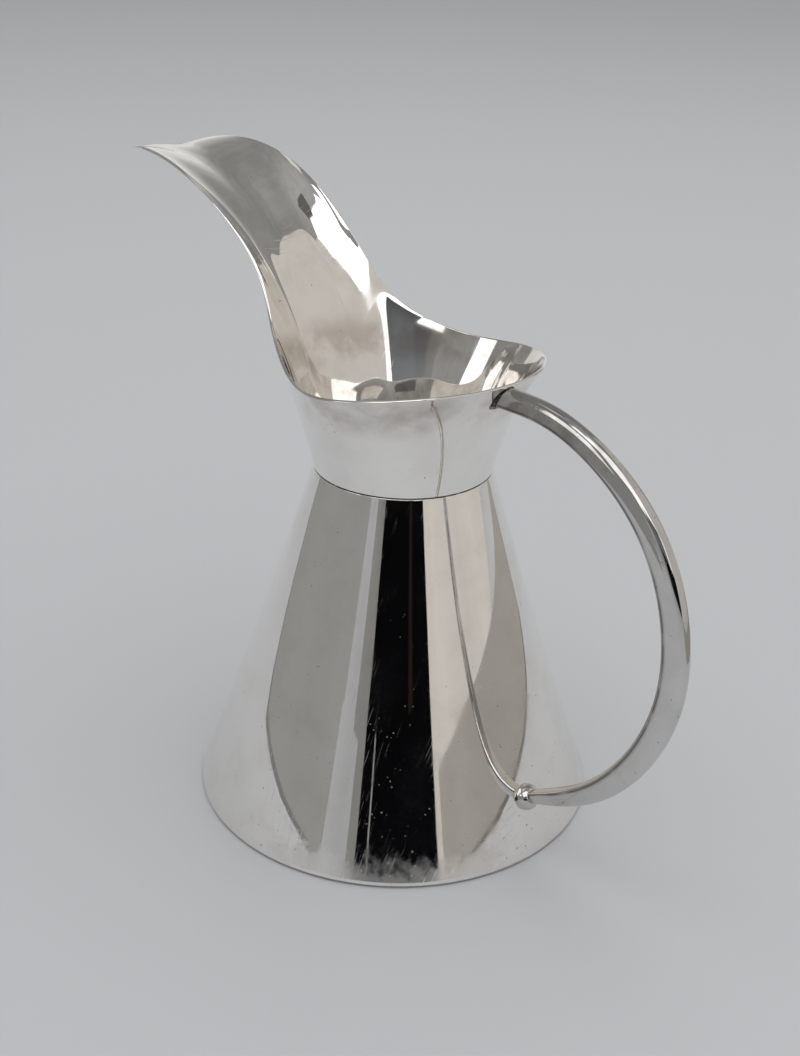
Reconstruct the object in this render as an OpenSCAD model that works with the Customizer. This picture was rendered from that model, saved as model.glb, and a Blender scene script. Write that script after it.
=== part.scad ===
// Polished silver ewer: a wide conical body closed by a soldered base, a flared collar drawn out into a
// long pouring spout, and a half-round bar handle that sweeps from the lip to a bead low on the body.
// The foot stands on z = 0 round the origin. The handle points along +X and the spout along -X.

/* [Body] */
// Diameter over the foot
foot_d = 140; // [120:1:160]
// Height of the neck seam above the table
body_h = 121; // [100:1:140]
// Diameter of the body at the neck seam
neck_d = 60; // [50:1:70]
// How far the side bows inward at half height
side_bow = 1; // [0:0.1:3]
// Thickness of the silver sheet
sheet = 1; // [0.8:0.1:1.5]
// Radius of the rounded foot edge
foot_round = 1.5; // [1:0.1:2.5]
// Width of the turned-in foot edge that the base lies on
foot_lip = 4; // [3.5:0.5:9]

/* [Base] */
// Thickness of the base disc
base_t = 1.2; // [0.8:0.1:2]

/* [Collar] */
// Thickness of the solder line at the neck
seam_t = 0.5; // [0.3:0.1:0.8]
// Diameter of the lip
rim_d = 91; // [80:1:104]
// Height of the lip above the collar's lower edge, on the handle side
rim_rise = 39.5; // [32:0.5:48]
// How much lower the lip runs at the sides
rim_dip = 7; // [2:0.5:10]
// Lean of the collar's wall at the seam, in degrees from upright
collar_lean = 15; // [8:1:22]
// Slope of the flared lip, in degrees above level
lip_slope = 54; // [46:1:64]

/* [Spout] */
// Distance of the tip from the body's axis
spout_reach = 146; // [125:1:165]
// Height of the spout's crest above the lip
spout_rise = 49; // [38:1:60]
// Width of the tongue
spout_w = 47; // [40:1:54]
// Width of the throat, where the spout leaves the collar
throat_w = 52; // [46:1:58]
// Distance of the throat from the body's axis
throat_x = 38.5; // [35:0.5:44]

/* [Handle] */
// Farthest distance of the bar's centreline from the body's axis
handle_reach = 115; // [102:1:128]
// Distance of the bar's centreline below the lip, at its upper end
handle_drop = 4.2; // [4:0.1:6]
// Depth of the bar in the plane of the handle, at its upper end
top_depth = 6.8; // [5:0.2:7.6]
// Depth of the bar at its thickest, in the lower bend
bend_depth = 8.8; // [7:0.2:11]
// Depth of the bar where it meets the bead
end_depth = 4.6; // [3.6:0.2:5.2]
// Width of the bar across the plane of the handle
bar_w = 6.4; // [5:0.2:8]
// Width of the bar where it meets the bead
end_w = 4.4; // [3.6:0.2:5.2]
// How square the bar's section is: 2 is a true oval
bar_square = 2.5; // [2:0.1:4]
// Share of the bar's depth on the hand's side of its widest line
bar_inner = 0.18; // [0.1:0.02:0.5]
// Size of the solder fillet round the upper end
fillet = 1; // [0.8:0.1:2]

/* [Bead] */
// Diameter of the half-round bead
bead_d = 9; // [8:0.5:11]
// Height of the bead's middle on the body
bead_h = 20; // [16:1:40]
// Length from the body to the flat that the bar is soldered to
bead_len = 3.6; // [3:0.1:3.6]

/* [Fit] */
// Gap that the solder fills at every joint
solder_gap = 0.1; // [0.05:0.05:0.2]

/* [Hidden] */
$fn = 128;

foot_r = foot_d / 2;
neck_r = neck_d / 2;
side_lean = atan((foot_r - neck_r) / body_h);
wall = sheet / cos(side_lean);
foot_lean = atan((foot_r - neck_r + 4 * side_bow) / body_h);
side_steps = 12;
side_crowding = 1.4;
foot_steps = 6;
seam_z = body_h + seam_t;
rim_z = seam_z + rim_rise;

// A uniform cubic B-spline through the control net p, whose first and last rows only steer its ends
function bspline(p, t) =
    let (
        i = min(floor(t), len(p) - 4),
        u = t - i
    )
    (pow(1 - u, 3) * p[i] + (3 * pow(u, 3) - 6 * u * u + 4) * p[i + 1]
        + (-3 * pow(u, 3) + 3 * u * u + 3 * u + 1) * p[i + 2] + pow(u, 3) * p[i + 3]) / 6;

// A cubic curve from a to d with the pulling points b and c
function cubic(a, b, c, d, v) =
    pow(1 - v, 3) * a + 3 * pow(1 - v, 2) * v * b + 3 * (1 - v) * v * v * c + pow(v, 3) * d;

function unit(v) = v / norm(v);

// Two triangles for each cell between rings of points, each ring joined to the next one;
// on a closed skin the last ring is joined to the first
function ring_faces(rings, count, closed) = [
    for (j = [0 : rings - (closed ? 1 : 2)], i = [0 : count - 1])
        let (
            next = (j + 1) % rings,
            a = j * count + i,
            b = j * count + (i + 1) % count,
            c = next * count + i,
            d = next * count + (i + 1) % count
        )
        each [[a, c, b], [b, c, d]]
];

// Half of the body's outline: the rounded foot edge, then up the side
foot_centre = [foot_r - foot_round, foot_round];
foot_arc = [
    for (i = [0 : foot_steps])
        let (a = -90 + (90 + foot_lean) * i / foot_steps)
        foot_centre + foot_round * [cos(a), sin(a)]
];
side_start = foot_arc[foot_steps];
side_h = body_h - side_start[1];
// Heights of the rings up the side, closer together towards the foot
side_zs = [for (i = [1 : side_steps]) side_start[1] + side_h * pow(i / side_steps, side_crowding)];

// Outer radius of the side at height z
function body_r(z) =
    let (u = (z - side_start[1]) / side_h)
    side_start[0] + (neck_r - side_start[0]) * u - 4 * side_bow * u * (1 - u);

// Raised cone: side wall with its lower edge turned in under the base
module body() {
    color("silver")
    rotate_extrude()
    polygon(concat(
        foot_arc,
        [for (z = side_zs) [body_r(z), z]],
        [for (i = [side_steps - 1 : -1 : 0]) [body_r(side_zs[i]) - wall, side_zs[i]]],
        [[body_r(sheet) - wall, sheet], [foot_r - foot_lip, sheet], [foot_r - foot_lip, 0]]
    ));
}

// Flat disc inside the foot, lying on the turned-in edge
module base_plate() {
    base_z = sheet + solder_gap;
    color("gainsboro")
    translate([0, 0, base_z])
    cylinder(
        h = base_t,
        r1 = body_r(base_z) - wall - solder_gap,
        r2 = body_r(base_z + base_t) - wall - solder_gap
    );
}

// Solder line between the body and the collar
module neck_seam() {
    color("dimgray")
    translate([0, 0, body_h])
    rotate_extrude()
    translate([neck_r - wall, 0])
    square([wall - solder_gap, seam_t]);
}

// Control net of half the lip, from the handle side round to the tip. Each row holds the distance along
// the jug, the half width and the height, then the shape of the wall below that place: the pull of its
// foot and of its lip as shares of its height, and the slope at the lip in degrees.
lip_step = 38;
lip_ring = rim_d / 2 * 6 / (4 + 2 * cos(lip_step));
flare = [1 / 3, 1 / (3 * sin(lip_slope)), lip_slope];
shoulder = rim_d / 2 * 0.93;
shoulder_turn = 107;
function spout_x(share) = -(throat_x + share * (spout_reach - throat_x));
function crest_z(share) = rim_z + share * spout_rise;
function half_w(share) = share * spout_w / 2;
lip = [
    concat([lip_ring, 0, rim_z], flare),
    concat([lip_ring * cos(lip_step), lip_ring * sin(lip_step), rim_z - 0.07 * rim_dip], flare),
    concat([lip_ring * cos(2 * lip_step), lip_ring * sin(2 * lip_step), rim_z - 0.65 * rim_dip], flare),
    [shoulder * cos(shoulder_turn), shoulder * sin(shoulder_turn), rim_z - rim_dip, 0.21, 0.28, 70.5],
    [spout_x(0), throat_w / 2, crest_z(0.07), 0.35, 0.041, 57],
    [spout_x(0.08), half_w(0.94), crest_z(0.49), 0.69, 0.223, 72],
    [spout_x(0.43), half_w(1.06), crest_z(0.99), 0.727, 0.101, 38],
    [spout_x(0.79), half_w(0.83), crest_z(1.01), 0.88, 0.21, -14],
    [spout_x(0.935), half_w(0.28), crest_z(0.8), 1.09, 0.35, -30],
    [spout_x(1.037), 0, crest_z(0.86), 1.1, 0.41, -14]
];
function across(row) = [row[0], -row[1], row[2], row[3], row[4], row[5]];
lip_net = concat([across(lip[1])], lip, [across(lip[len(lip) - 2])]);
tip = len(lip) - 1;
lip_steps = 44;
wall_steps = 12;

// Outer face of the collar and spout: s runs round the lip from the handle, v runs up the wall
function shell_point(s, v) =
    let (
        far = s > tip,
        row = bspline(lip_net, far ? 2 * tip - s : abs(s)),
        side = far || s < 0 ? -1 : 1,
        turn = atan2(row[1], row[0]),
        rise = row[2] - seam_z,
        foot = [neck_r, seam_z],
        top = [norm([row[0], row[1]]), row[2]],
        p = cubic(
            foot,
            foot + row[3] * rise * [tan(collar_lean), 1],
            top - row[4] * rise * [cos(row[5]), sin(row[5])],
            top,
            v
        )
    )
    [p[0] * cos(turn), side * p[0] * sin(turn), p[1]];

// The same place on the inner face, one sheet away from the outer face
function lining_point(s, v) =
    let (
        e = 0.001,
        along = shell_point(s + e, v) - shell_point(s - e, v),
        up = shell_point(s, min(v + e, 1)) - shell_point(s, max(v - e, 0)),
        p = shell_point(s, v)
    )
    v == 0
        ? [p[0], p[1], 0] * (1 - sheet / cos(collar_lean) / neck_r) + [0, 0, seam_z]
        : p - sheet * unit(cross(along, up));

// Collar drawn out into the spout: one sheet, open at the neck and along the lip
module collar_spout() {
    count = 2 * lip_steps;
    outside = [for (j = [0 : wall_steps], i = [0 : count - 1])
        shell_point(2 * tip * i / count, j / wall_steps)];
    inside = [for (j = [wall_steps : -1 : 0], i = [0 : count - 1])
        lining_point(2 * tip * i / count, j / wall_steps)];
    color("silver")
    polyhedron(
        points = concat(outside, inside),
        faces = ring_faces(2 * (wall_steps + 1), count, true)
    );
}

// Outside of the collar under the handle: distance from the axis at height z
handle_lip = bspline(lip_net, 0);
function seat_r(z) =
    let (
        rise = handle_lip[2] - seam_z,
        v = min((z - seam_z) / rise, 1),
        p = shell_point(0, v)
    )
    p[0];
function seat_x(y, z) = sqrt(pow(seat_r(z), 2) - y * y) + solder_gap;

// Control net of the handle from the lip to the bead: distance out, height, depth and width of the bar.
// Distances are shares of the way from the lip to the farthest reach, heights of the way up from the bead.
root_z = handle_lip[2] - handle_drop;
function bar_x(share) = handle_lip[0] + share * (handle_reach - handle_lip[0]);
function bar_z(share) = bead_h + share * (root_z - bead_h);
seat = [body_r(bead_h), bead_h];
lower_bend = [bar_x(0.727), bar_z(0.12)];
bead_way = unit(lower_bend - seat);
bar_end = seat + (bead_len + solder_gap) * bead_way;
bar = [
    [bar_x(0.02), root_z, top_depth, bar_w],
    [bar_x(0.34), root_z, top_depth, bar_w],
    [bar_x(0.9), bar_z(0.83), (top_depth + bend_depth) / 2, bar_w],
    [bar_x(1.086), bar_z(0.45), bend_depth, bar_w],
    [lower_bend[0], lower_bend[1], bend_depth, bar_w],
    [bar_end[0], bar_end[1], end_depth, end_w]
];
bar_run = len(bar) - 1;
bar_net = concat([2 * bar[0] - bar[1]], bar, [2 * bar[bar_run] - bar[bar_run - 1]]);
bar_steps = 60;
bar_sides = 24;

// Direction a of the bar's half-round section, whose half width and half depth are 1
function section(a) =
    let (q = [for (c = [cos(a), sin(a)]) sign(c) * pow(abs(c), 2 / bar_square)])
    [q[0], 2 * bar_inner - 1 + 2 * (q[1] > 0 ? 1 - bar_inner : bar_inner) * q[1]];

// Point a of the section at place t on the centreline
function bar_point(t, a) =
    let (
        e = 0.001,
        c = bspline(bar_net, t),
        ahead = bspline(bar_net, min(t + e, bar_run)),
        behind = bspline(bar_net, max(t - e, 0)),
        way = unit([ahead[0] - behind[0], ahead[1] - behind[1]]),
        half = [c[3] * section(a)[0], c[2] * section(a)[1]] / 2
    )
    [c[0] - way[1] * half[1], half[0], c[1] + way[0] * half[1]];

// Tapered bar, its upper end fitted to the collar and its lower end squared off at the bead
module handle() {
    turns = [for (i = [0 : bar_sides - 1]) 360 * i / bar_sides];
    root = [for (a = turns)
        let (p = bar_point(0, a))
        [seat_x(p[1], p[2]), p[1], p[2]]];
    rest = [for (j = [0 : bar_steps], a = turns) bar_point(bar_run * j / bar_steps, a)];
    rings = bar_steps + 2;
    color("silver")
    polyhedron(
        points = concat(root, rest),
        faces = concat(
            ring_faces(rings, bar_sides, false),
            [[for (i = [0 : bar_sides - 1]) i]],
            [[for (i = [bar_sides - 1 : -1 : 0]) (rings - 1) * bar_sides + i]]
        )
    );
}

// Half-round bead on the body, flattened where the bar is soldered to it
module handle_bead() {
    color("silver")
    difference() {
        translate([seat[0], 0, seat[1]])
        rotate([0, atan2(bead_way[0], bead_way[1]), 0])
        intersection() {
            sphere(d = bead_d);
            translate([0, 0, bead_len - bead_d])
            cylinder(d = 2 * bead_d, h = bead_d);
        }
        rotate_extrude()
        polygon(concat(
            [[0, 0], [body_r(0) + solder_gap, 0]],
            [for (z = side_zs) [body_r(z) + solder_gap, z]],
            [[0, body_h]]
        ));
    }
}

// Solder run round the handle's upper end, thin above and full below
module handle_solder() {
    turns = [for (i = [0 : bar_sides - 1]) 360 * i / bar_sides];
    thinning = 0.9;
    function run(a) = fillet * (1 - thinning * max(0, sin(a)));
    function corner(a, out) = [
        (bar_w / 2 + solder_gap + out) * section(a)[0],
        root_z + (top_depth / 2 + solder_gap + out) * section(a)[1]
    ];
    function on_collar(q) = [seat_x(q[0], q[1]), q[0], q[1]];
    inner = [for (a = turns) on_collar(corner(a, 0))];
    along = [for (i = [0 : bar_sides - 1]) inner[i] + [run(turns[i]), 0, 0]];
    over = [for (a = turns) on_collar(corner(a, run(a)))];
    color("dimgray")
    polyhedron(
        points = concat(inner, over, along),
        faces = ring_faces(3, bar_sides, true)
    );
}

body();
base_plate();
neck_seam();
collar_spout();
handle();
handle_bead();
handle_solder();
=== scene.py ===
import math

import bpy
import numpy as np
from mathutils import Euler, Matrix


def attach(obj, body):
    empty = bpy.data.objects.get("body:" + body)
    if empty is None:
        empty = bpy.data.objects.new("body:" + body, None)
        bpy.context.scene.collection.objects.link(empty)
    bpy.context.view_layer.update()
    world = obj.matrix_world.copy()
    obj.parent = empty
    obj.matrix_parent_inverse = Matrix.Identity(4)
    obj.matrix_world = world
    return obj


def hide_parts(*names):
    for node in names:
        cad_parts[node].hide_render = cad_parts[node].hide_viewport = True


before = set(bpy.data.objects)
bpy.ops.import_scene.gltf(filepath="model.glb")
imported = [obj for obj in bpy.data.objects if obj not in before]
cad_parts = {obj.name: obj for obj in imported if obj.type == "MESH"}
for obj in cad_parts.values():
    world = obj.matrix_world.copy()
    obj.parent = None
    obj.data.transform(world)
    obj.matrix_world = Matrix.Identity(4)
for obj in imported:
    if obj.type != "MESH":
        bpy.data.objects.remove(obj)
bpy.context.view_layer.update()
scene = bpy.context.scene
scene.view_settings.view_transform = "Standard"


# Camera: it stands a little higher than the jug, half-way between the handle's end and the jug's near side,
# and looks down by about 25 degrees, rolled by less than two.
LOOK_DOWN = math.radians(25.054)
HEADING = math.radians(45.05)
ROLL = math.radians(1.794)
lens = bpy.data.cameras.new("camera")
lens.sensor_fit = "VERTICAL"
lens.sensor_height = 36
lens.lens = 48.93
lens.clip_start = 0.01
camera = bpy.data.objects.new("camera", lens)
camera.location = (0.31416, -0.31416, 0.30487)
aim = Euler((math.pi / 2 - LOOK_DOWN, 0, HEADING)).to_matrix()
camera.rotation_euler = (aim @ Matrix.Rotation(ROLL, 3, "Z")).to_euler()
scene.collection.objects.link(camera)
scene.camera = camera


# Studio: a plain pale table and a pale surround, under one wide soft lamp. Cards stand all round it, out of
# the picture, for the polished metal to mirror: a grey shell, bright panels, pale boards and dark flags.
def stage_mesh(name, points, faces, material):
    """A thing that stands round the jug and is no part of it."""
    mesh = bpy.data.meshes.new(name)
    mesh.from_pydata(points, [], faces)
    mesh.materials.append(material)
    thing = bpy.data.objects.new(name, mesh)
    scene.collection.objects.link(thing)
    return thing


table_paint = bpy.data.materials.new("pale_table")
table_paint.use_nodes = True
table_shader = table_paint.node_tree.nodes["Principled BSDF"]
table_shader.inputs["Base Color"].default_value = (0.52, 0.525, 0.54, 1)
table_shader.inputs["Roughness"].default_value = 0.5
TABLE_HALF = 6
table_corners = [(TABLE_HALF * x, TABLE_HALF * y, 0) for x, y in ((-1, -1), (1, -1), (1, 1), (-1, 1))]
stage_mesh("table", table_corners, [(0, 1, 2, 3)], table_paint)

surround = bpy.data.worlds.new("pale_surround")
surround.use_nodes = True
surround.node_tree.nodes["Background"].inputs["Color"].default_value = (0.47, 0.475, 0.48, 1)
scene.world = surround

lamp = bpy.data.objects.new("soft_lamp", bpy.data.lights.new("soft_lamp", "AREA"))
lamp.data.size = 3
lamp.data.energy = 34
lamp.location = (0, 0.2, 2)
lamp.visible_glossy = False
scene.collection.objects.link(lamp)


def grow(tree, kind, sockets, **settings):
    """A new node of a material, its sockets set to values or linked to other nodes."""
    node = tree.nodes.new("ShaderNode" + kind)
    for key, value in settings.items():
        setattr(node, key, value)
    for key, value in sockets.items():
        if isinstance(value, bpy.types.NodeSocket):
            tree.links.new(value, node.inputs[key])
        else:
            node.inputs[key].default_value = value
    return node


def noise(tree, place, scale, detail=2.0, rough=0.5):
    """A cloudy value that wanders round one half."""
    sockets = {"Vector": place, "Scale": scale, "Detail": detail, "Roughness": rough}
    return grow(tree, "TexNoise", sockets).outputs["Fac"]


def between(tree, value, low, high, start=0.0, end=1.0):
    """Spreads the values between low and high over start to end."""
    sockets = {"Value": value, "From Min": low, "From Max": high, "To Min": start, "To Max": end}
    return grow(tree, "MapRange", sockets).outputs[0]


card_paint = bpy.data.materials.new("mirrored_card")
card_paint.use_nodes = True
card_tree = card_paint.node_tree
card_shader = card_tree.nodes["Principled BSDF"]
card_shader.inputs["Base Color"].default_value = (0, 0, 0, 1)
card_shader.inputs["Specular IOR Level"].default_value = 0
card_shader.inputs["Emission Strength"].default_value = 1
card_place = grow(card_tree, "TexCoord", {}).outputs["Object"]
card_cloud = between(card_tree, noise(card_tree, card_place, 1.7, 3.0), 0.3, 0.7, 0.93, 1.07)
card_tone = grow(card_tree, "Attribute", {}, attribute_name="tone").outputs["Color"]
card_light = grow(card_tree, "VectorMath", {0: card_tone, 1: card_cloud}, operation="MULTIPLY").outputs[0]
card_tree.links.new(card_light, card_shader.inputs["Emission Color"])
TOWARDS_CAMERA = math.radians(-45)
CARD_CENTRE = 0.08


def mirrored(name, points, faces, tones):
    """A card that shows only in glossy surfaces: it is not in the picture and throws no shadow."""
    thing = stage_mesh(name, points, faces, card_paint)
    tone = thing.data.color_attributes.new("tone", "FLOAT_COLOR", "POINT")
    tone.data.foreach_set("color", np.column_stack([tones, np.ones(len(points))]).ravel())
    for kind in ("camera", "diffuse", "transmission", "volume_scatter", "shadow"):
        setattr(thing, "visible_" + kind, False)


def card(name, turns, heights, distance, *shades):
    """A curved card, by its turns from the camera's side and its heights in degrees, shaded upward."""
    columns, rows = 37, 29
    points = []
    for el in np.radians(np.linspace(*heights, rows)):
        level = distance * math.cos(el)
        z = CARD_CENTRE + distance * math.sin(el)
        for az in np.radians(np.linspace(*turns, columns)) + TOWARDS_CAMERA:
            points.append((level * math.cos(az), level * math.sin(az), z))
    corners = [j * columns + i for j in range(rows - 1) for i in range(columns - 1)]
    faces = [(k, k + 1, k + columns + 1, k + columns) for k in corners]
    shades = np.array(shades)
    steps = np.linspace(0, len(shades) - 1, rows)
    tones = np.column_stack([np.interp(steps, np.arange(len(shades)), shades[:, k]) for k in range(3)])
    mirrored(name, points, faces, np.repeat(tones, columns, 0))


def grey(level):
    """A grey that leans a little to the warm side."""
    return level * 1.01, level, level * 0.975


SHELL_GREYS = (0.275, 0.275, 0.27, 0.245, 0.225, 0.25, 0.34, 0.37)
BACK_GREYS = (0.70, 0.70, 0.69, 0.50, 0.35, 0.25)
PANEL_WHITE = (1.5, 1.5, 1.5)
STRIP_BLUE = (0.37, 0.375, 0.385)
DIM_BLUE = (0.20, 0.206, 0.217)
card("grey_shell", (-180, 180), (-3, 89.5), 8, *map(grey, SHELL_GREYS))
card("bright_back", (142, 218), (-3, 33), 7, *map(grey, BACK_GREYS))
card("front_panel", (-42, 37), (33, 78), 6, PANEL_WHITE)
card("front_panel_foot", (-27, 14), (25, 36), 5, PANEL_WHITE)
card("front_panel_left", (-62, -42), (44, 66), 6, PANEL_WHITE)
card("high_left", (-106, -78), (56, 71), 5.5, (0.66, 0.63, 0.60))
card("side_panel", (-76, -53), (12, 34), 6, (1.4, 1.4, 1.4))
card("light_strip", (-37, -28), (-3, 13), 2.2, STRIP_BLUE)
card("light_strip_low", (-38, -24), (-3, 2.5), 2.15, STRIP_BLUE)
card("front_edge", (-28, -19), (-3, 26), 2.2, grey(0.22))
card("dark_front", (-19, 25), (-3, 14), 1.8, (0.002, 0.002, 0.0025))
card("bright_gap", (-13, -12.2), (-3, 3.2), 1.75, grey(0.25))
card("brown_edge", (9, 12), (4, 13), 1.75, (0.014, 0.009, 0.008))
card("dim_front", (-15.5, 14), (14, 33.5), 1.8, DIM_BLUE, (0.15, 0.155, 0.163), (0.065, 0.067, 0.071))
card("dim_corner", (-23, -15.5), (14, 26), 1.8, DIM_BLUE, (0.085, 0.087, 0.092))
card("bright_slot", (13, 30), (15, 40), 4, (1.3, 1.3, 1.3))


def flat_card(name, turn, away, outline, colour):
    """An upright flat card that faces the jug, drawn by distance to its right and height."""
    turn = math.radians(turn) + TOWARDS_CAMERA
    out = (math.cos(turn), math.sin(turn))
    points = [(away * out[0] - u * out[1], away * out[1] + u * out[0], z) for u, z in outline]
    mirrored(name, points, [range(len(points))], np.tile(colour, (len(points), 1)))


BOARD_BEIGE = (0.56, 0.53, 0.495)
board_foot = [(-2.22, 0), (2.22, 0)]
board_top = [(2.22, 2.3), (1.9, 2.8), (1.4, 3.2), (0.8, 3.4), (-0.35, 3.5), (-0.75, 4.2), (-1.2, 4.37),
             (-1.92, 4.35)]
board_side = [(-2.36, 4.05), (-2.28, 3.41), (-2.44, 3.04), (-2.6, 2.61), (-2.37, 2.18), (-1.92, 1.73),
              (-1.53, 1.38), (-1.48, 1.26), (-1.53, 1.2), (-1.53, 0.66), (-2.22, 0.66)]
near_board = [(-0.04, 0.22), (0.12, 0.22), (0.13, 0.42), (-0.2, 0.5), (-0.2, 0.36)]
flat_card("pale_board", 68, 1.5, board_foot + board_top + board_side, BOARD_BEIGE)
flat_card("near_board", 90, 0.2, near_board, BOARD_BEIGE)
left_edge = [(-0.25, 0.12), (-0.16, 0.06), (-0.10, 0.033), (-0.04, 0.01), (0, 0.001), (0.43, 0.001)]
right_edge = [(-0.6, 0.001), (0.18, 0.001), (0.22, 0.023), (0.25, 0.05)]
LEFT_SHADE_H = 0.0035
RIGHT_SHADE_H = 0.003
left_band = left_edge + [(u, z + LEFT_SHADE_H) for u, z in left_edge[::-1]]
right_band = right_edge + [(u, z + RIGHT_SHADE_H) for u, z in right_edge[::-1]]
flat_card("left_flag", -90, 0.33, [(-0.25, 0.2)] + left_edge + [(0.43, 0.2)], grey(0.275))
flat_card("left_shade", -90, 0.328, left_band, grey(0.17))
flat_card("right_flag", 90, 0.31, right_edge + [(0.25, 0.066), (-0.6, 0.066)], (0.325, 0.307, 0.283))
flat_card("right_shade", 90, 0.308, right_band, (0.16, 0.145, 0.13))
FLAG_Z = 0.46
over_mouth = [(-0.045, 0.05), (-0.034, 0.007), (-0.022, -0.014), (0.018, 0.004), (0.028, 0.066),
              (0.0, 0.068)]
flag_points = [((r - b) / 2 ** 0.5, (r + b) / 2 ** 0.5, FLAG_Z) for r, b in over_mouth]
mirrored("dark_flag", flag_points, [range(len(flag_points))], [grey(0.12)] * len(flag_points))


# Body: a wide cone of silver sheet, raised by hammer and polished, its side bowed in by a millimetre.
# Its foot edge is rounded and turned in to carry the base.
FOOT_R = 0.070
FOOT_ROUND = 0.0015
FOOT_LIP = 0.004
NECK_R = 0.030
BODY_H = 0.121
SIDE_BOW = 0.001
SHEET = 0.001
side_lean = math.atan((FOOT_R - NECK_R) / BODY_H)
foot_lean = math.atan((FOOT_R - NECK_R + 4 * SIDE_BOW) / BODY_H)
side_r0 = FOOT_R - FOOT_ROUND + FOOT_ROUND * math.cos(foot_lean)
side_z0 = FOOT_ROUND + FOOT_ROUND * math.sin(foot_lean)
body_wall = SHEET / math.cos(side_lean)


def body_r(z):
    """Outer radius of the side at a height."""
    u = (z - side_z0) / (BODY_H - side_z0)
    return side_r0 + (NECK_R - side_r0) * u - 4 * SIDE_BOW * u * (1 - u)


def rounded(corner, before, after, radius, steps=5):
    """Points of a small round where a profile turns a corner."""
    corner, before, after = (np.array(p, float) for p in (corner, before, after))
    a = corner + radius * (before - corner) / np.linalg.norm(before - corner)
    b = corner + radius * (after - corner) / np.linalg.norm(after - corner)
    return [(1 - t) ** 2 * a + 2 * t * (1 - t) * corner + t * t * b for t in np.linspace(0, 1, steps)]


def add_piece(name, points, faces, node, material):
    """A smooth mesh that stands for a node of the model and goes with it."""
    mesh = bpy.data.meshes.new(name)
    mesh.from_pydata([tuple(p) for p in points], [], faces)
    mesh.polygons.foreach_set("use_smooth", [True] * len(mesh.polygons))
    mesh.set_sharp_from_angle(angle=math.radians(35))
    mesh.materials.append(material)
    piece = bpy.data.objects.new(name, mesh)
    scene.collection.objects.link(piece)
    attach(piece, "root")
    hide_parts(node)
    return piece


def ring_faces(rings, count, closed):
    """Quads between rings of points, each ring joined to the next one."""
    faces = []
    for j in range(rings if closed else rings - 1):
        k = (j + 1) % rings
        for i in range(count):
            m = (i + 1) % count
            faces.append((j * count + i, j * count + m, k * count + m, k * count + i))
    return faces


def turned(profile, count):
    """Points of a profile of (radius, height) turned round the jug's axis."""
    angles = np.linspace(0, 2 * math.pi, count, endpoint=False)
    return [(r * math.cos(a), r * math.sin(a), z) for r, z in profile for a in angles]


def maths(tree, kind, a, b):
    """Two values put together by one sum."""
    return grow(tree, "Math", {0: a, 1: b}, operation=kind).outputs[0]


def blend(tree, share, a, b):
    """A colour between two others."""
    return grow(tree, "Mix", {0: share, 6: a, 7: b}, data_type="RGBA").outputs[2]


def scratches(tree, place, turn, fineness, seldom):
    """Thin straight marks along one direction, broken into short lengths."""
    stretch = (fineness, fineness / 45, fineness / 45)
    lay = grow(tree, "Mapping", {"Vector": place, "Rotation": turn, "Scale": stretch})
    lines = between(tree, noise(tree, lay.outputs[0], 1.0, 1.0), seldom, seldom + 0.05)
    return maths(tree, "MULTIPLY", lines, between(tree, noise(tree, place, 45.0), 0.42, 0.62))


SMUDGE_Z = 0.1525
KNOCKS_END = 0.08
SCUFF_TOP = 0.012
SCUFF_FULL = 0.004
PIT_CELLS = 480.0
PIT_DIRT = (0.13, 0.125, 0.12)
WAVE_DEPTH = 0.00003
MARK_DEPTH = 0.000008


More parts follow.
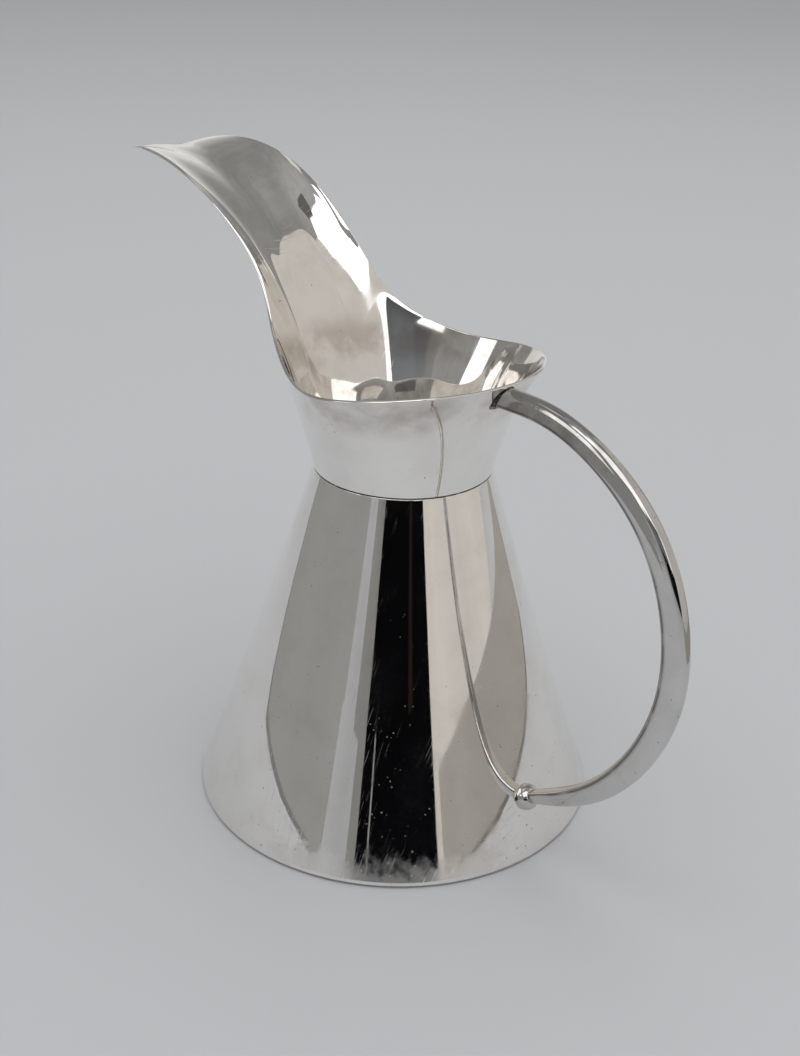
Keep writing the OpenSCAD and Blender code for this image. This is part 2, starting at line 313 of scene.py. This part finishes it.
def worn_silver(name, colour, tarnish, gloss, pitting):
    """Polished silver: low waves of the hammer, fine scratches, a thin haze, and pits that hold dirt."""
    paint = bpy.data.materials.new(name)
    paint.use_nodes = True
    tree = paint.node_tree
    shader = tree.nodes["Principled BSDF"]
    place = grow(tree, "TexCoord", {}).outputs["Object"]
    height = grow(tree, "SeparateXYZ", {0: place}).outputs["Z"]
    haze = between(tree, noise(tree, place, 70.0, 6.0, 0.62), 0.45, 0.78)
    ragged = between(tree, noise(tree, place, 260.0, 5.0, 0.6), 0.3, 0.7, -0.004, 0.004)
    scuffed = between(tree, maths(tree, "ADD", height, ragged), SCUFF_TOP, SCUFF_FULL)
    cells = grow(tree, "TexVoronoi", {"Vector": place, "Scale": PIT_CELLS}).outputs
    pit_edge = between(tree, cells["Color"], 0.2, 0.8, 0.04, 0.17)
    pit_floor = maths(tree, "MULTIPLY", pit_edge, 0.45)
    knocked = between(tree, height, KNOCKS_END, 0.0, 0.0, 0.16)
    struck = maths(tree, "ADD", noise(tree, place, 95.0, 3.0), knocked)
    rare = between(tree, struck, pitting, pitting + 0.06)
    pits = maths(tree, "MULTIPLY", between(tree, cells["Distance"], pit_edge, pit_floor), rare)
    from_lip = maths(tree, "ABSOLUTE", maths(tree, "SUBTRACT", height, SMUDGE_Z), 0.0)
    cloudy = between(tree, noise(tree, place, 55.0, 5.0, 0.6), 0.42, 0.6)
    smudge = maths(tree, "MULTIPLY", cloudy, between(tree, from_lip, 0.010, 0.003))
    one_way = scratches(tree, place, (0.3, 0.5, 0.2), 3800.0, 0.69)
    other_way = scratches(tree, place, (1.2, -0.4, 1.1), 3300.0, 0.69)
    marks = maths(tree, "MAXIMUM", one_way, other_way)
    dirt = maths(tree, "MAXIMUM", maths(tree, "MULTIPLY", haze, 0.35), smudge)
    clean = blend(tree, dirt, (*colour, 1), (*tarnish, 1))
    pitted = blend(tree, maths(tree, "MULTIPLY", pits, 0.8), clean, (*PIT_DIRT, 1))
    tree.links.new(pitted, shader.inputs["Base Color"])
    dull = maths(tree, "MAXIMUM", maths(tree, "MAXIMUM", haze, smudge), maths(tree, "MULTIPLY", marks, 2.0))
    soft = between(tree, dull, 0.0, 2.0, gloss, gloss + 0.13)
    worn = maths(tree, "ADD", soft, maths(tree, "MULTIPLY", scuffed, 0.15))
    tree.links.new(maths(tree, "ADD", worn, maths(tree, "MULTIPLY", pits, 0.4)), shader.inputs["Roughness"])
    shader.inputs["Metallic"].default_value = 1
    hammered = {"Height": noise(tree, place, 48.0), "Distance": WAVE_DEPTH, "Strength": 1.0}
    waves = grow(tree, "Bump", hammered).outputs[0]
    relief = maths(tree, "ADD", maths(tree, "MULTIPLY", marks, 0.35), pits)
    sunk = {"Height": relief, "Distance": MARK_DEPTH, "Strength": 1.0, "Normal": waves}
    fine = grow(tree, "Bump", sunk, invert=True).outputs[0]
    tree.links.new(fine, shader.inputs["Normal"])
    return paint


FOOT_STEPS = 12
SIDE_STEPS = 80
SIDE_CROWDING = 1.4
NECK_EDGE_ROUND = 0.00015
LIP_EDGE_ROUND = 0.0002
side_end = BODY_H - 0.0004
foot_arc = []
for a in np.linspace(-math.pi / 2, foot_lean, FOOT_STEPS):
    foot_arc.append((FOOT_R - FOOT_ROUND + FOOT_ROUND * math.cos(a), FOOT_ROUND + FOOT_ROUND * math.sin(a)))
side_zs = side_z0 + (side_end - side_z0) * np.linspace(0, 1, SIDE_STEPS)[1:] ** SIDE_CROWDING
neck_edge = (NECK_R, BODY_H)
neck_inner = (NECK_R - body_wall, BODY_H)
below_neck = BODY_H - 0.01
lip_r = FOOT_R - FOOT_LIP
body_profile = (
    foot_arc
    + [(body_r(z), z) for z in side_zs]
    + rounded(neck_edge, (body_r(below_neck), below_neck), neck_inner, NECK_EDGE_ROUND)
    + rounded(neck_inner, neck_edge, (body_r(below_neck) - body_wall, below_neck), NECK_EDGE_ROUND)
    + [(body_r(z) - body_wall, z) for z in side_zs[::-1]]
    + [(body_r(SHEET) - body_wall, SHEET)]
    + rounded((lip_r, SHEET), (FOOT_R, SHEET), (lip_r, 0), LIP_EDGE_ROUND)
    + rounded((lip_r, 0), (lip_r, SHEET), (FOOT_R, 0), LIP_EDGE_ROUND)
)
silver = worn_silver("polished_silver", (0.92, 0.905, 0.88), (0.68, 0.64, 0.60), 0.025, 0.57)
turns = 384
add_piece("raised_body", turned(body_profile, turns), ring_faces(len(body_profile), turns, True),
          "body", silver)


# Base: a flat disc cut from plain silver sheet, left duller than the rest. It is laid inside the foot on the
# turned-in edge and soldered there all round.
BASE_T = 0.0012
BASE_EDGE_ROUND = 0.0003
MIDDLE_R = 0.0002
FIRST_RING_R = 0.01
EDGE_MARGIN = 0.0004
SOLDER_GAP = 0.0001
base_z = SHEET + SOLDER_GAP
base_top = base_z + BASE_T
base_low_r = body_r(base_z) - body_wall - SOLDER_GAP
base_top_r = body_r(base_top) - body_wall - SOLDER_GAP
base_profile = (
    [(MIDDLE_R, base_z)]
    + [(r, base_z) for r in np.linspace(FIRST_RING_R, base_low_r - EDGE_MARGIN, 8)]
    + rounded((base_low_r, base_z), (0, base_z), (base_top_r, base_top), BASE_EDGE_ROUND)
    + rounded((base_top_r, base_top), (base_low_r, base_z), (0, base_top), BASE_EDGE_ROUND)
    + [(r, base_top) for r in np.linspace(base_top_r - EDGE_MARGIN, FIRST_RING_R, 8)]
    + [(MIDDLE_R, base_top)]
)
base_turns = 192
base_faces = ring_faces(len(base_profile), base_turns, False)
base_faces.append(tuple(range(base_turns))[::-1])
base_faces.append(tuple((len(base_profile) - 1) * base_turns + i for i in range(base_turns)))
base_silver = worn_silver("base_silver", (0.84, 0.825, 0.80), (0.5, 0.46, 0.4), 0.16, 0.6)
add_piece("base_disc", turned(base_profile, base_turns), base_faces,
          "base_plate", base_silver)


# Neck seam: the line of silver solder that joins the collar to the body. It ran in as the two edges were
# heated together, stands back a little from the polished sheets, and has dulled dark.
SEAM_T = 0.0005
SEAM_BULGE = 0.00004
seam_z = BODY_H + SEAM_T
seam_inner = NECK_R - body_wall
seam_outer = NECK_R - SOLDER_GAP
seam_profile = [
    (seam_inner, BODY_H), (seam_outer, BODY_H), (seam_outer + SEAM_BULGE, BODY_H + SEAM_T / 2),
    (seam_outer, seam_z), (seam_inner, seam_z),
]
solder = bpy.data.materials.new("dull_solder")
solder.use_nodes = True
solder_tree = solder.node_tree
solder_shader = solder_tree.nodes["Principled BSDF"]
solder_spot = grow(solder_tree, "TexCoord", {}).outputs["Object"]
solder_patch = noise(solder_tree, solder_spot, 420.0, 5.0, 0.6)
SOLDER_DARK = (0.06, 0.055, 0.05, 1)
SOLDER_BARE = (0.42, 0.40, 0.37, 1)
solder_bare = between(solder_tree, solder_patch, 0.5, 0.68)
solder_colour = blend(solder_tree, solder_bare, SOLDER_DARK, SOLDER_BARE)
solder_rough = between(solder_tree, solder_patch, 0.3, 0.7, 0.55, 0.25)
solder_tree.links.new(solder_colour, solder_shader.inputs["Base Color"])
solder_tree.links.new(solder_rough, solder_shader.inputs["Roughness"])
solder_shader.inputs["Metallic"].default_value = 1
solder_lumps = grow(solder_tree, "Bump", {"Height": solder_patch, "Distance": 0.0002, "Strength": 0.8})
solder_tree.links.new(solder_lumps.outputs[0], solder_shader.inputs["Normal"])
add_piece("neck_solder_line", turned(seam_profile, turns), ring_faces(len(seam_profile), turns, True),
          "neck_seam", solder)


# Collar and spout: one sheet of silver that leans out from the neck to a flared lip. On the side away from
# the handle it is drawn out into a long pouring tongue that rises, narrows and turns down at its tip. Its
# lower edge is soldered to the body at the neck seam.
RIM_R = 0.0455
RIM_RISE = 0.0395
RIM_DIP = 0.007
COLLAR_LEAN = math.radians(15)
LIP_SLOPE = 54
THROAT_X = 0.0385
THROAT_W = 0.052
SPOUT_REACH = 0.146
SPOUT_RISE = 0.049
SPOUT_W = 0.047
rim_z = seam_z + RIM_RISE
LIP_STEP = math.radians(38)
lip_ring = RIM_R * 6 / (4 + 2 * math.cos(LIP_STEP))
flare = (1 / 3, 1 / (3 * math.sin(math.radians(LIP_SLOPE))), LIP_SLOPE)
SHOULDER_TURN = math.radians(107)
shoulder_r = 0.93 * RIM_R
shoulder = (shoulder_r * math.cos(SHOULDER_TURN), shoulder_r * math.sin(SHOULDER_TURN), rim_z - RIM_DIP)


def spout_row(along, width, height, foot_pull, lip_pull, slope):
    """A row of the lip's net, by shares of the spout's reach, width and rise."""
    x = -(THROAT_X + along * (SPOUT_REACH - THROAT_X))
    return x, width * SPOUT_W / 2, rim_z + height * SPOUT_RISE, foot_pull, lip_pull, slope


lip_rows = [
    (lip_ring, 0, rim_z, *flare),
    (lip_ring * math.cos(LIP_STEP), lip_ring * math.sin(LIP_STEP), rim_z - 0.07 * RIM_DIP, *flare),
    (lip_ring * math.cos(2 * LIP_STEP), lip_ring * math.sin(2 * LIP_STEP), rim_z - 0.65 * RIM_DIP, *flare),
    (*shoulder, 0.21, 0.28, 70.5),
    spout_row(0, THROAT_W / SPOUT_W, 0.07, 0.35, 0.041, 57),
    spout_row(0.08, 0.94, 0.49, 0.69, 0.223, 72),
    spout_row(0.43, 1.06, 0.99, 0.727, 0.101, 38),
    spout_row(0.79, 0.83, 1.01, 0.88, 0.21, -14),
    spout_row(0.935, 0.28, 0.8, 1.09, 0.35, -30),
    spout_row(1.037, 0, 0.86, 1.1, 0.41, -14),
]


def other_side(row):
    """The same row on the far side of the jug."""
    return (row[0], -row[1], *row[2:])


lip_net = np.array([other_side(lip_rows[1])] + lip_rows + [other_side(lip_rows[-2])])
tip = len(lip_rows) - 1


def bspline(net, t):
    """Points of a smooth curve steered by a net of rows, one row to each whole step of t."""
    t = np.atleast_1d(t)
    i = np.minimum(np.floor(t).astype(int), len(net) - 4)
    u = (t - i)[:, None]
    return ((1 - u) ** 3 * net[i] + (3 * u ** 3 - 6 * u ** 2 + 4) * net[i + 1]
            + (-3 * u ** 3 + 3 * u ** 2 + 3 * u + 1) * net[i + 2] + u ** 3 * net[i + 3]) / 6


def shell(s, v):
    """Outer face of the collar: s runs round the lip from the handle, v runs up the wall."""
    s, v = np.broadcast_arrays(np.asarray(s, float), np.asarray(v, float))
    flat_s, flat_v = s.ravel(), v.ravel()
    far = flat_s > tip
    row = bspline(lip_net, np.where(far, 2 * tip - flat_s, np.abs(flat_s)))
    side = np.where(far | (flat_s < 0), -1, 1)
    turn = np.arctan2(row[:, 1], row[:, 0])
    rise = row[:, 2] - seam_z
    slope = np.radians(row[:, 5])
    top_r = np.hypot(row[:, 0], row[:, 1])
    foot_pull = row[:, 3] * rise
    lip_pull = row[:, 4] * rise
    radii = (NECK_R, NECK_R + foot_pull * math.tan(COLLAR_LEAN), top_r - lip_pull * np.cos(slope), top_r)
    heights = (seam_z, seam_z + foot_pull, row[:, 2] - lip_pull * np.sin(slope), row[:, 2])
    share = ((1 - flat_v) ** 3, 3 * (1 - flat_v) ** 2 * flat_v, 3 * (1 - flat_v) * flat_v ** 2, flat_v ** 3)
    r = sum(k * a for k, a in zip(share, radii))
    z = sum(k * a for k, a in zip(share, heights))
    return np.stack([r * np.cos(turn), side * r * np.sin(turn), z], -1).reshape(*s.shape, 3)


def unit(v):
    """A direction brought to length one."""
    return v / np.linalg.norm(v, axis=-1, keepdims=True)


def shell_frame(s, v):
    """The outer face's points, its outward direction and its direction up the wall."""
    e = 1e-4
    along = shell(s + e, v) - shell(s - e, v)
    up = shell(s, np.minimum(v + e, 1)) - shell(s, np.maximum(v - e, 0))
    return shell(s, v), unit(np.cross(along, up)), unit(up)


LIP_COUNT = 480
WALL_STEPS = 60
EDGE_STEPS = 11
EDGE_ROUND = 0.00035
round_s = np.linspace(0, 2 * tip, LIP_COUNT, endpoint=False)
wall_vs = np.linspace(0, 1, WALL_STEPS + 1)
collar_rings = []
for v in wall_vs[:-1]:
    collar_rings.append(shell(round_s, np.full_like(round_s, v)))
rim, outward, upward = shell_frame(round_s, np.ones_like(round_s))
for a in np.linspace(0, math.pi, EDGE_STEPS):
    inward = outward * SHEET / 2 * (math.cos(a) - 1)
    collar_rings.append(rim + inward + upward * EDGE_ROUND * (math.sin(a) - 1))
for v in wall_vs[-2:0:-1]:
    p, outward, _ = shell_frame(round_s, np.full_like(round_s, v))
    collar_rings.append(p - SHEET * outward)
low = collar_rings[0]
collar_rings.append(low * (1 - SHEET / math.cos(COLLAR_LEAN) / NECK_R * np.array([1, 1, 0])))
collar_points = np.concatenate(collar_rings)
add_piece("collar_and_spout", collar_points, ring_faces(len(collar_rings), LIP_COUNT, True),
          "collar_spout", silver)


# Handle: a half-round bar of silver, its flatter side towards the hand, thickest in its lower bend. It is
# bent into a wide loop, butted against the collar just under the lip, and soldered at both ends.
HANDLE_REACH = 0.115
HANDLE_DROP = 0.0042
TOP_DEPTH = 0.0068
BEND_DEPTH = 0.0088
END_DEPTH = 0.0046
BAR_W = 0.0064
END_W = 0.0044
BEAD_H = 0.020
BEAD_LEN = 0.0036
handle_lip = bspline(lip_net, 0)[0]
root_z = handle_lip[2] - HANDLE_DROP
bead_seat = np.array([body_r(BEAD_H), BEAD_H])


def bar_at(out, height):
    """A place in the handle's plane, by shares of the way out from the lip and up from the bead."""
    return handle_lip[0] + out * (HANDLE_REACH - handle_lip[0]), BEAD_H + height * (root_z - BEAD_H)


lower_bend = np.array(bar_at(0.727, 0.12))
bead_way = unit(lower_bend - bead_seat)
bar_end = bead_seat + (BEAD_LEN + SOLDER_GAP) * bead_way
bar_rows = np.array([
    (*bar_at(0.02, 1), TOP_DEPTH, BAR_W),
    (*bar_at(0.34, 1), TOP_DEPTH, BAR_W),
    (*bar_at(0.9, 0.83), (TOP_DEPTH + BEND_DEPTH) / 2, BAR_W),
    (*bar_at(1.086, 0.45), BEND_DEPTH, BAR_W),
    (*lower_bend, BEND_DEPTH, BAR_W),
    (*bar_end, END_DEPTH, END_W),
])
bar_net = np.vstack([2 * bar_rows[0] - bar_rows[1], bar_rows, 2 * bar_rows[-1] - bar_rows[-2]])
BAR_SIDES = 96
BAR_STEPS = 240
BAR_SQUARE = 2.5
BAR_INNER = 0.18


def section(a):
    """Across and outward share of the bar's half-round section at an angle."""
    across, out = (np.sign(c) * np.abs(c) ** (2 / BAR_SQUARE) for c in (np.cos(a), np.sin(a)))
    return across, 2 * BAR_INNER - 1 + np.where(out > 0, 2 * (1 - BAR_INNER), 2 * BAR_INNER) * out


bar_across, bar_upward = section(np.linspace(0, 2 * math.pi, BAR_SIDES, endpoint=False))
bar_run = len(bar_rows) - 1


def bar_ring(t):
    """The bar's section at one place of its bend."""
    e = 1e-4
    centre = bspline(bar_net, t)[0]
    way = unit(bspline(bar_net, min(t + e, bar_run))[0, :2] - bspline(bar_net, max(t - e, 0))[0, :2])
    lift = centre[2] / 2 * bar_upward
    return np.stack([centre[0] - way[1] * lift, centre[3] / 2 * bar_across, centre[1] + way[0] * lift], -1)


def seat_x(y, z):
    """Outside of the collar under the handle, at a place across and up."""
    share = (np.asarray(z) - seam_z) / (handle_lip[2] - seam_z)
    r = shell(np.zeros_like(share), np.minimum(share, 1))[..., 0]
    return np.sqrt(r ** 2 - np.asarray(y) ** 2) + SOLDER_GAP


root = bar_ring(0)
root[:, 0] = seat_x(root[:, 1], root[:, 2])
bar_rings = [root] + [bar_ring(t) for t in np.linspace(0, bar_run, BAR_STEPS)]
bar_faces = ring_faces(len(bar_rings), BAR_SIDES, False)
bar_faces.append(tuple(range(BAR_SIDES))[::-1])
bar_faces.append(tuple((len(bar_rings) - 1) * BAR_SIDES + i for i in range(BAR_SIDES)))
handle_silver = worn_silver("handle_silver", (0.66, 0.65, 0.635), (0.42, 0.40, 0.37), 0.06, 0.47)
bar = add_piece("bar_handle", np.concatenate(bar_rings), bar_faces, "handle", handle_silver)
# Painted shade: the bar's colour is darkened in a thin band along both its sides next to the flat inner
# face. This paints in the dark line that the polished bar shows along that edge.
EDGE_OUT = -0.6
EDGE_SPREAD = 0.16
PAINTED_EDGE_DARK = (0.07, 0.065, 0.06, 1)
painted_edge_shade = np.clip(1.4 - 1.4 * np.abs(bar_upward - EDGE_OUT) / EDGE_SPREAD, 0, 1)
painted_shade_layer = bar.data.attributes.new("painted_edge_shade", "FLOAT", "POINT")
painted_shade_layer.data.foreach_set("value", np.tile(painted_edge_shade, len(bar_rings)))
bar_tree = handle_silver.node_tree
bar_shader = bar_tree.nodes["Principled BSDF"]
bar_clean = bar_shader.inputs["Base Color"].links[0].from_socket
bar_place = grow(bar_tree, "TexCoord", {}).outputs["Object"]
bar_edge = grow(bar_tree, "Attribute", {}, attribute_name="painted_edge_shade").outputs["Fac"]
bar_patchy = between(bar_tree, noise(bar_tree, bar_place, 90.0, 4.0), 0.32, 0.5, 0.35, 0.9)
# Painted shade: the dark edge line, broken into patches by a noise, is laid over the clean silver.
bar_painted_shade = maths(bar_tree, "MULTIPLY", bar_edge, bar_patchy)
bar_tree.links.new(blend(bar_tree, bar_painted_shade, bar_clean, PAINTED_EDGE_DARK), bar_shader.inputs["Base Color"])


# Bead: a half ball of the handle's silver, filed to the side of the body and soldered there. Its outer face
# is flattened, and the end of the bar is soldered to that.
BEAD_R = 0.0045
BEAD_SIDES = 64
BEAD_STEPS = 24
bead_axis = np.array([bead_way[0], 0, bead_way[1]])
bead_up = np.array([-bead_way[1], 0, bead_way[0]])
bead_across = np.array([0, 1, 0])
bead_centre = np.array([bead_seat[0], 0, bead_seat[1]])


def bead_point(polar, turn):
    """A place on the ball, by its angle from the bead's axis and its turn round it."""
    side = math.cos(turn) * bead_up + math.sin(turn) * bead_across
    return bead_centre + BEAD_R * (math.cos(polar) * bead_axis + math.sin(polar) * side)


def bead_foot(turn):
    """Angle from the bead's axis at which the ball meets the body."""
    low, high = math.radians(40), math.radians(160)
    for _ in range(40):
        mid = (low + high) / 2
        p = bead_point(mid, turn)
        outside = math.hypot(p[0], p[1]) > body_r(p[2]) + SOLDER_GAP
        low, high = (mid, high) if outside else (low, mid)
    return low


bead_turns = np.linspace(0, 2 * math.pi, BEAD_SIDES, endpoint=False)
bead_flat = math.acos(BEAD_LEN / BEAD_R)
flat_middle = bead_centre + BEAD_LEN * bead_axis
bead_rings = []
for k in (0.3, 0.9):
    bead_rings.append([flat_middle + k * (bead_point(bead_flat, a) - flat_middle) for a in bead_turns])
for k in np.linspace(0.04, 1, BEAD_STEPS):
    bead_rings.append([bead_point(bead_flat + k * (bead_foot(a) - bead_flat), a) for a in bead_turns])
bead_faces = ring_faces(len(bead_rings), BEAD_SIDES, False)
bead_faces.append(tuple(range(BEAD_SIDES))[::-1])
bead_faces.append(tuple((len(bead_rings) - 1) * BEAD_SIDES + i for i in range(BEAD_SIDES)))
add_piece("seat_bead", np.concatenate(bead_rings), bead_faces, "handle_bead", handle_silver)


# Solder run: silver solder that holds the upper end of the bar to the collar. It was drawn round the bar by
# the heat, thin above and full below, and was left dark.
FILLET = 0.001
THINNING = 0.9
SOLDER_SIDES = 72
SOLDER_STEPS = 9


def solder_place(a, out, along):
    """A place on the run at an angle round the bar, so far out from the bar and along it."""
    across, up = section(a)
    y = (BAR_W / 2 + SOLDER_GAP + out) * across
    z = root_z + (TOP_DEPTH / 2 + SOLDER_GAP + out) * up
    return float(seat_x(y, z)) + along, y, z


solder_turns = np.linspace(0, 2 * math.pi, SOLDER_SIDES, endpoint=False)
solder_runs = [FILLET * (1 - THINNING * max(0, math.sin(a))) for a in solder_turns]
solder_rings = []
for k in np.linspace(0, 1, SOLDER_STEPS):
    ring = [solder_place(a, run * k * k, run * (1 - k) ** 2) for a, run in zip(solder_turns, solder_runs)]
    solder_rings.append(ring)
solder_rings.append([solder_place(a, 0, 0) for a in solder_turns])
solder_faces = ring_faces(len(solder_rings), SOLDER_SIDES, True)
add_piece("handle_solder_run", np.concatenate(solder_rings), solder_faces, "handle_solder", solder)
